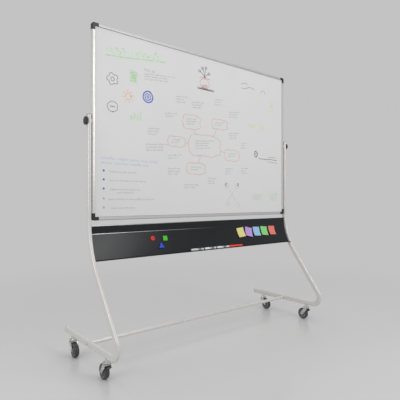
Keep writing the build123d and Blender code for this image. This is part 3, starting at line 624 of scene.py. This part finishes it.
MARKERS = (  # name, start, length, cap, barrel, end plug, bands on the barrel
    ("first", -0.188, 0.119, label_pale, white_shell, marker_black, label_grey),
    ("second", -0.068, 0.119, white_shell, white_shell, marker_blue, label_grey),
    ("third", 0.052, 0.119, white_shell, white_shell, white_shell, label_grey),
    ("fourth", 0.173, 0.143, marker_red, marker_red, marker_red, marker_red),
)
for word, x0, end, cap_made, barrel_made, plug_made, band_made in MARKERS:
    cap = turned(
        f"{word}_marker_cap",
        x0,
        [(0, 0.0055), (0.0006, 0.0070), (0.0022, 0.0080), (0.006, 0.0084), (0.030, 0.0088)]
        + [(0.0305, 0.0090), (0.0415, 0.0090), (CAP_L, 0.0087)],
        cap_made,
        flute_depth=0.0004,
    )
    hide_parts("marker_caps")
    barrel = turned(
        f"{word}_marker_barrel",
        x0,
        [(CAP_L - 0.004, 0.0078), (CAP_L + 0.0005, 0.0078), (CAP_L + 0.0012, 0.0080)]
        + [(end - 0.0115, 0.0080), (end - 0.011, 0.0077), (end - 0.0105, 0.0077)],
        barrel_made,
    )
    plug = turned(
        f"{word}_marker_plug",
        x0,
        [(end - 0.0105, 0.0074), (end - 0.010, 0.0079), (end - 0.002, 0.0078)]
        + [(end - 0.0006, 0.0072), (end, 0.0060)],
        plug_made,
    )
    bands = [barrel, plug]
    for number, (start, stop) in enumerate(((0.050, 0.054), (0.060, 0.088), (0.094, 0.097))):
        bands.append(
            turned(
                f"{word}_marker_band_{number}",
                x0,
                [(start, 0.00795), (start + 0.0003, 0.00808), (stop - 0.0003, 0.00808)]
                + [(stop, 0.00795)],
                band_made,
            )
        )
    for part in bands:
        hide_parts("marker_barrels")


# ---- turned and extruded details ----------------------------------------------------
class Shape:
    """Closed meshes gathered into one object."""

    def __init__(self):
        self.points, self.faces = [], []

    def lathe(self, base, along, profile, segments=40, loop=False):
        """A body of revolution from (distance, radius) pairs; loop joins the last to the first."""
        along = Vector(along).normalized()
        u = along.orthogonal().normalized()
        v = along.cross(u)
        first, count = len(self.points), len(profile)
        for distance, radius in profile:
            for k in range(segments):
                a = 2 * pi * k / segments
                spoke = u * cos(a) + v * sin(a)
                self.points.append(Vector(base) + along * distance + spoke * radius)
        for i in range(count if loop else count - 1):
            a, b = first + i * segments, first + (i + 1) % count * segments
            for k in range(segments):
                m = (k + 1) % segments
                self.faces.append((a + k, a + m, b + m, b + k))
        if not loop:
            self.faces.append(tuple(first + k for k in reversed(range(segments))))
            last = first + (count - 1) * segments
            self.faces.append(tuple(last + k for k in range(segments)))

    def block(self, middle, axes, sizes, bevel=0.2):
        """A box with sloping edges: axes are three unit vectors, the last one points up."""
        first = len(self.points)
        rings = ((-1, 1.0), (1 - 2 * bevel, 1.0), (1, None))
        for height, grow in rings:
            for sx, sy in ((-1, -1), (1, -1), (1, 1), (-1, 1)):
                inset = bevel * sizes[2] if grow is None else 0.0
                self.points.append(
                    Vector(middle)
                    + axes[0] * sx * (sizes[0] / 2 - inset)
                    + axes[1] * sy * (sizes[1] / 2 - inset)
                    + axes[2] * height * sizes[2] / 2
                )
        for ring_start in (first, first + 4):
            for k in range(4):
                m = (k + 1) % 4
                self.faces.append(
                    (ring_start + k, ring_start + m, ring_start + 4 + m, ring_start + 4 + k)
                )
        self.faces.append((first + 3, first + 2, first + 1, first))
        self.faces.append((first + 8, first + 9, first + 10, first + 11))

    def finish(self, name, made, body, slot, smooth=False):
        """The gathered meshes as one piece; the slot argument is not used."""
        gathered = piece(name, self.points, self.faces, made, body, smooth)
        return gathered


UP = Vector((0, 0, 1))
ACROSS = Vector((1, 0, 0))
BACK = Vector((0, 1, 0))

# ---- casters ------------------------------------------------------------------------
TYRE = (  # half of the tyre's section: distance from the middle, radius
    (0.0010, 0.0440), (0.0038, 0.0439), (0.0044, 0.0430), (0.0056, 0.0430), (0.0062, 0.04385),
    (0.0085, 0.0436), (0.0118, 0.0424), (0.0142, 0.0400), (0.0150, 0.0375), (0.0148, 0.0352),
    (0.0135, 0.0342),
)
FORK_OUT = 0.021  # outer face of each fork leg
RIB_COUNT = 8
RIB_SIZE = (0.0185, 0.0026, 0.0075)  # along the spoke, across it, along the axle
RIB_R, RIB_OUT = 0.0215, 0.0070  # middle of a rib from the axle, and from the wheel's middle
HUB_RING = ((0.0168, 0.0046), (0.0180, 0.0046), (0.0180, 0.0080), (0.0168, 0.0088))
BEAD_SIZE = (0.022, 0.0065, 0.0018)
BEAD_AHEAD, BEAD_Z, BEAD_PROUD = 0.016, 0.0645, 0.0003
LEG_RUN, LEG_DROP = 20, 23  # slope of a fork leg
WASHER = ((-0.0002, 0.0084), (0.0008, 0.0084), (0.0010, 0.0080), (0.0010, 0.0030))
SEAL = (
    (0.0965, 0.0202), (0.0965, 0.0224), (0.0985, 0.0227), (0.1000, 0.0226), (0.1003, 0.0215),
    (0.1003, 0.0190),
)
PIN_HEAD = ((-0.0004, 0.0042), (0.0006, 0.0042), (0.0014, 0.0030), (0.0017, 0.0012))
GRIP_SIZE = (0.028, 0.0013, 0.0012)
GRIP_COUNT = 4
GRIP_START, GRIP_STEP = 0.0115, 0.0026  # from the pedal's pin backwards
TREAD_START, TREAD_HIGH = 0.010, 0.0062  # where the tread starts, and how high above the pin
TREAD_RUN, TREAD_DROP = 11, 3  # slope of the tread

for word in CASTERS:
    roll = joints[f"{word}_wheel_roll"]
    hub, axle = Vector(roll["pos_m"]), Vector(roll["axis"]).normalized()
    swivel = Vector(joints[f"{word}_swivel_turn"]["pos_m"])
    pin = Vector(joints[f"{word}_brake_press"]["pos_m"])
    ahead = Vector((hub.x - swivel.x, hub.y - swivel.y, 0)).normalized()

    tyre = Shape()
    section = [(-d, r) for d, r in reversed(TYRE)] + list(TYRE)
    tyre.lathe(hub, axle, section, segments=72, loop=True)
    tyre = tyre.finish(f"{word}_tyre_tread", rubber, f"{word}_wheel", "tyre_rubber", True)
    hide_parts(f"{word}_tyre")

    ribs = Shape()
    for side in (-1, 1):
        for k in range(RIB_COUNT):
            a = 2 * pi * (k + 0.5) / RIB_COUNT
            spoke = ahead * cos(a) + UP * sin(a)
            turn = axle.cross(spoke)
            ribs.block(
                hub + spoke * RIB_R + axle * side * RIB_OUT,
                (spoke, turn, axle * side),
                RIB_SIZE,
            )
        ribs.lathe(hub, axle * side, HUB_RING, loop=True)
    ribs.finish(f"{word}_wheel_ribs", wheel_plastic, f"{word}_wheel", "wheel_plastic")

    trim = Shape()
    slope = (ahead * LEG_RUN - UP * LEG_DROP).normalized()
    bead = swivel + ahead * BEAD_AHEAD + UP * (BEAD_Z - swivel.z)
    for side in (-1, 1):
        trim.block(
            bead + axle * side * (FORK_OUT + BEAD_PROUD),
            (slope, axle.cross(slope), axle * side),
            BEAD_SIZE,
            bevel=0.3,
        )
        trim.lathe(hub + axle * side * FORK_OUT, axle * side, WASHER)
    trim.finish(f"{word}_fork_beads", zinc, f"{word}_swivel", "fork_steel")

    seal = Shape()
    seal.lathe(Vector((swivel.x, swivel.y, 0)), UP, SEAL, segments=56, loop=True)
    seal.finish(f"{word}_dust_seal", pedal_black, f"{word}_swivel", "end_cap_plastic", True)

    heads = Shape()
    for side in (-1, 1):
        heads.lathe(pin + axle * side * FORK_OUT, axle * side, PIN_HEAD, segments=28)
    heads.finish(f"{word}_pedal_rivets", zinc, f"{word}_pedal", "axle_steel", True)

    grip = Shape()
    lean = (ahead * TREAD_RUN + UP * TREAD_DROP).normalized()
    off_tread = axle.cross(lean)
    if off_tread.z < 0:
        off_tread = -off_tread
    for step in range(GRIP_COUNT):
        back = GRIP_START + GRIP_STEP * step
        high = TREAD_HIGH - (back - TREAD_START) * TREAD_DROP / TREAD_RUN
        grip.block(pin - ahead * back + UP * high, (axle, lean, off_tread), GRIP_SIZE)
    grip.finish(f"{word}_pedal_grip", pedal_black, f"{word}_pedal", "pedal_steel")

# ---- knobs --------------------------------------------------------------------------
KNOB = (  # distance from the inner face, radius, share of the flutes' depth
    (0.0095, 0.0080, 0), (0.0000, 0.0080, 0), (0.0000, 0.0122, 0), (0.0003, 0.0129, 0),
    (0.0020, 0.0130, 0), (0.0021, 0.0215, 0.3), (0.0026, 0.0240, 1), (0.0045, 0.0258, 1),
    (0.0100, 0.0260, 1), (0.0115, 0.0254, 1), (0.0123, 0.0238, 1), (0.0125, 0.0215, 0.6),
    (0.0124, 0.0185, 0), (0.0116, 0.0178, 0), (0.0115, 0.0120, 0), (0.0118, 0.0106, 0),
    (0.0124, 0.0100, 0), (0.0125, 0.0090, 0),
)
KNOB_FLUTES = 8
FLUTE_DEPTH, FLUTE_POWER = 0.0027, 1.5  # the power narrows each flute
KNOB_SEGMENTS = 96
for side, word in ((-1, "left"), (1, "right")):
    knob_low, knob_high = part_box(f"{word}_knob")
    inner = knob_high.x if side < 0 else knob_low.x
    middle = (knob_low + knob_high) / 2
    points, faces = [], []
    for distance, radius, share in KNOB:
        for k in range(KNOB_SEGMENTS):
            a = 2 * pi * k / KNOB_SEGMENTS
            r = radius - share * FLUTE_DEPTH * (0.5 + 0.5 * cos(KNOB_FLUTES * a)) ** FLUTE_POWER
            points.append((inner + side * distance, middle.y + r * cos(a), middle.z + r * sin(a)))
    for i in range(len(KNOB) - 1):
        for k in range(KNOB_SEGMENTS):
            m = (k + 1) % KNOB_SEGMENTS
            a, b = i * KNOB_SEGMENTS, (i + 1) * KNOB_SEGMENTS
            faces.append((a + k, a + m, b + m, b + k))
    faces.append(tuple(reversed(range(KNOB_SEGMENTS))))
    faces.append(tuple(range((len(KNOB) - 1) * KNOB_SEGMENTS, len(KNOB) * KNOB_SEGMENTS)))
    knob = piece(f"{word}_fluted_knob", points, faces, knob_black, f"{word}_knob_body", smooth=True)
    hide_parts(f"{word}_knob")

# ---- board and panel trim -----------------------------------------------------------
RAIL_W = 0.020
# a thin dark strip round each sheet's edge, under the rails' lips: painted shadow
LIP_SHADOW_W, LIP_SHADOW_H = 0.0016, 0.0010
frame_low, frame_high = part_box("corner_caps")
trim = Shape()
for face_y, out in ((board_face, -1), (board_back, 1)):
    half_w, half_h = frame_high.x - RAIL_W, (frame_high.z - frame_low.z) / 2 - RAIL_W
    mid_z = (frame_low.z + frame_high.z) / 2
    for sign in (-1, 1):
        trim.block(
            (0, face_y, mid_z + sign * (half_h - LIP_SHADOW_W / 2)), (ACROSS, UP, BACK * out),
            (2 * half_w, LIP_SHADOW_W, LIP_SHADOW_H),
        )
        trim.block(
            (sign * (half_w - LIP_SHADOW_W / 2), face_y, mid_z), (UP, ACROSS, BACK * out),
            (2 * half_h - 2 * LIP_SHADOW_W, LIP_SHADOW_W, LIP_SHADOW_H),
        )
trim.finish("sheet_lip_shadows", cap_plastic, "board", "end_cap_plastic")

SCREW_IN = 0.011  # from the corner's outer edges
SCREW_SUNK = 0.0002
SCREW_HEAD = (
    (0, 0.0037), (0.0007, 0.0036), (0.0015, 0.0026), (0.0018, 0.0014), (0.0010, 0.0012),
)
screws = Shape()
for x in (frame_low.x + SCREW_IN, frame_high.x - SCREW_IN):
    for z in (frame_low.z + SCREW_IN, frame_high.z - SCREW_IN):
        screws.lathe((x, frame_high.y - SCREW_SUNK, z), BACK, SCREW_HEAD, segments=28)
screws.finish("corner_screws", zinc, "board", "zinc_steel", True)

CREASE_Z = 0.797
EDGE_R = 0.0024
CREASE_SET, TOP_SET = 0.0008, 0.0012  # how far back the two beads are set into the sheet
panel_low, panel_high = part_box("magnet_panel")
crease_y = BEND_Y + (BEND_R**2 - (BEND_Z - CREASE_Z) ** 2) ** 0.5
length = panel_high.x - panel_low.x
# two beads along the crease and the top edge, carrying the painted highlight
edges = Shape()
for y, z in ((crease_y + CREASE_SET, CREASE_Z), (crease_y + TOP_SET, panel_high.z - EDGE_R)):
    edges.lathe((panel_low.x, y, z), ACROSS, ((0, EDGE_R), (length, EDGE_R)), segments=20)
edges.finish("panel_crease_highlights", fold_highlight, "stand", "panel_paint", True)

# ---- camera, light and floor --------------------------------------------------------
camera_data = bpy.data.cameras.new("camera")
camera_data.lens = 36.34
camera_data.sensor_width = 36.0
camera = bpy.data.objects.new("camera", camera_data)
camera.location = (-1.9424, plane_y - 2.2976, 1.0044)
camera.rotation_euler = (radians(90), 0, radians(-39.477))
bpy.context.scene.collection.objects.link(camera)
bpy.context.scene.camera = camera

STUDIO = (0.545, 0.545, 0.545)  # light of the studio, and what the floor fades into
FLOOR_HALF = 60.0
FADE = (0.5, 4.2)  # distances between which the floor fades into the backdrop
floor_mesh = bpy.data.meshes.new("floor")
floor_mesh.from_pydata(
    [(x * FLOOR_HALF, y * FLOOR_HALF, 0) for x, y in ((-1, -1), (1, -1), (1, 1), (-1, 1))],
    [],
    [(0, 1, 2, 3)],
)
floor = bpy.data.objects.new("floor", floor_mesh)
floor_paint = material(
    "floor_paint", (0.675, 0.675, 0.675), 0.22, mottle=(0.5, 0.006), gloss=(1.5, 0.02),
    relief=(50, 0.01, 0.0005),
)
tree = floor_paint.node_tree
middle = tree.nodes.new("ShaderNodeTexCoord")
distance = tree.nodes.new("ShaderNodeVectorMath")
distance.operation = "LENGTH"
fade = tree.nodes.new("ShaderNodeMapRange")
fade.interpolation_type = "SMOOTHSTEP"
fade.inputs["From Min"].default_value, fade.inputs["From Max"].default_value = FADE
glow = tree.nodes.new("ShaderNodeEmission")
glow.inputs["Color"].default_value = (*STUDIO, 1)
mix = tree.nodes.new("ShaderNodeMixShader")
tree.links.new(middle.outputs["Object"], distance.inputs[0])
tree.links.new(distance.outputs["Value"], fade.inputs["Value"])
tree.links.new(fade.outputs["Result"], mix.inputs["Fac"])
tree.links.new(tree.nodes["Principled BSDF"].outputs["BSDF"], mix.inputs[1])
tree.links.new(glow.outputs["Emission"], mix.inputs[2])
tree.links.new(mix.outputs["Shader"], tree.nodes["Material Output"].inputs["Surface"])
floor_mesh.materials.append(floor_paint)
bpy.context.scene.collection.objects.link(floor)

world = bpy.data.worlds.new("studio")
world.use_nodes = True
background = world.node_tree.nodes["Background"]
background.inputs["Color"].default_value = (*STUDIO, 1)
background.inputs["Strength"].default_value = 1.0
bpy.context.scene.world = world
bpy.context.scene.view_settings.view_transform = "Standard"


def soft_light(name, place, target, size, power):
    """A rectangular lamp the camera doesn't see."""
    data = bpy.data.lights.new(name, "AREA")
    data.shape = "RECTANGLE"
    data.size, data.size_y = size
    data.energy = power
    lamp = bpy.data.objects.new(name, data)
    lamp.location = place
    aim = Vector(target) - Vector(place)
    lamp.rotation_euler = aim.to_track_quat("-Z", "Y").to_euler()
    lamp.visible_camera = False
    bpy.context.scene.collection.objects.link(lamp)


soft_light("overhead", (0.0, 0.9, 4.6), (0, 0.3, 0), (5.0, 4.0), 46)
soft_light("key", (0.6, -3.0, 2.5), (0, 0, 1.2), (1.3, 2.4), 32)
soft_light("left_fill", (-3.6, -0.4, 1.7), (-0.9, 0, 1.2), (1.4, 1.6), 19)
